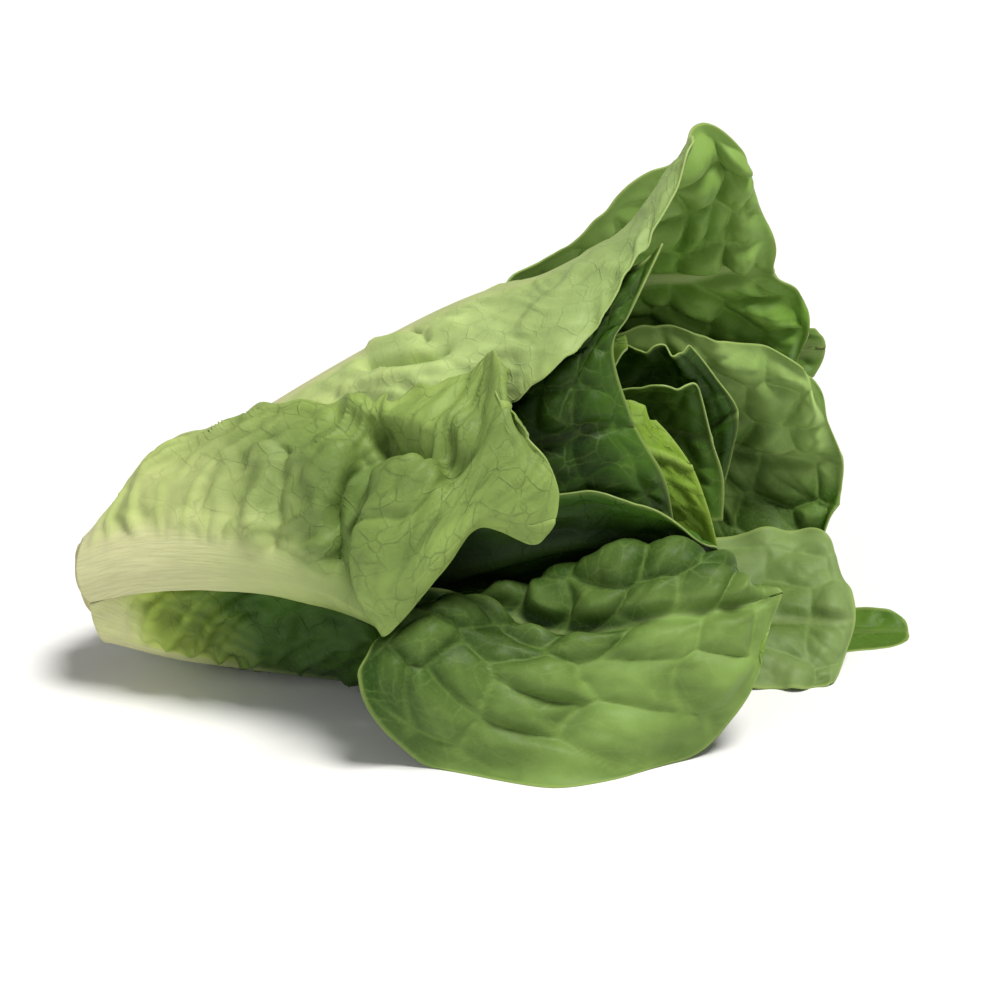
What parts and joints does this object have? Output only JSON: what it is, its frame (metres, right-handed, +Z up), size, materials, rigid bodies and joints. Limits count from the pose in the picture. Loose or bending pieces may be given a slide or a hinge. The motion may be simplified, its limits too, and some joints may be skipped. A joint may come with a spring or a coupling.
{
  "type": "romaine lettuce head",
  "caption": "Romaine lettuce head lying on its side, cut stem at one end, ribbed crinkled leaves opening wide at the other, one leaf spread in front.",
  "frame": {"origin": "middle of the underside of the bounding box, on the surface that the head lies on", "axes": "+X from the cut stem end towards the leaf tips, +Z up, -Y towards the front of the picture"},
  "size_m": [0.2694, 0.1622, 0.1755],
  "materials": {
    "outer_leaf": "matte leaf, light green outer side, pale rib",
    "inner_leaf": "waxy leaf, deeper green, pale veins",
    "heart_leaf": "waxy leaf, yellow green",
    "stem": "pale cut stem, faintly brown at the cut"
  },
  "bodies": {
    "root": {"leaf_front_outer": "outer_leaf", "leaf_top_outer": "outer_leaf", "leaf_under": "outer_leaf", "leaf_back_outer": "outer_leaf", "leaf_trailing": "outer_leaf", "leaf_back_tall": "inner_leaf", "leaf_front_spread": "inner_leaf", "leaf_back_low": "inner_leaf", "leaf_front_upper": "inner_leaf", "leaf_back_middle": "inner_leaf", "leaf_front_inner": "inner_leaf", "leaf_heart_back": "inner_leaf", "leaf_heart_front": "heart_leaf", "leaf_heart_top": "heart_leaf", "leaf_heart_low": "heart_leaf", "leaf_inner_curl": "inner_leaf", "leaf_centre_upper": "heart_leaf", "leaf_centre_lower": "heart_leaf", "stem_core": "stem"}
  },
  "joints": []
}
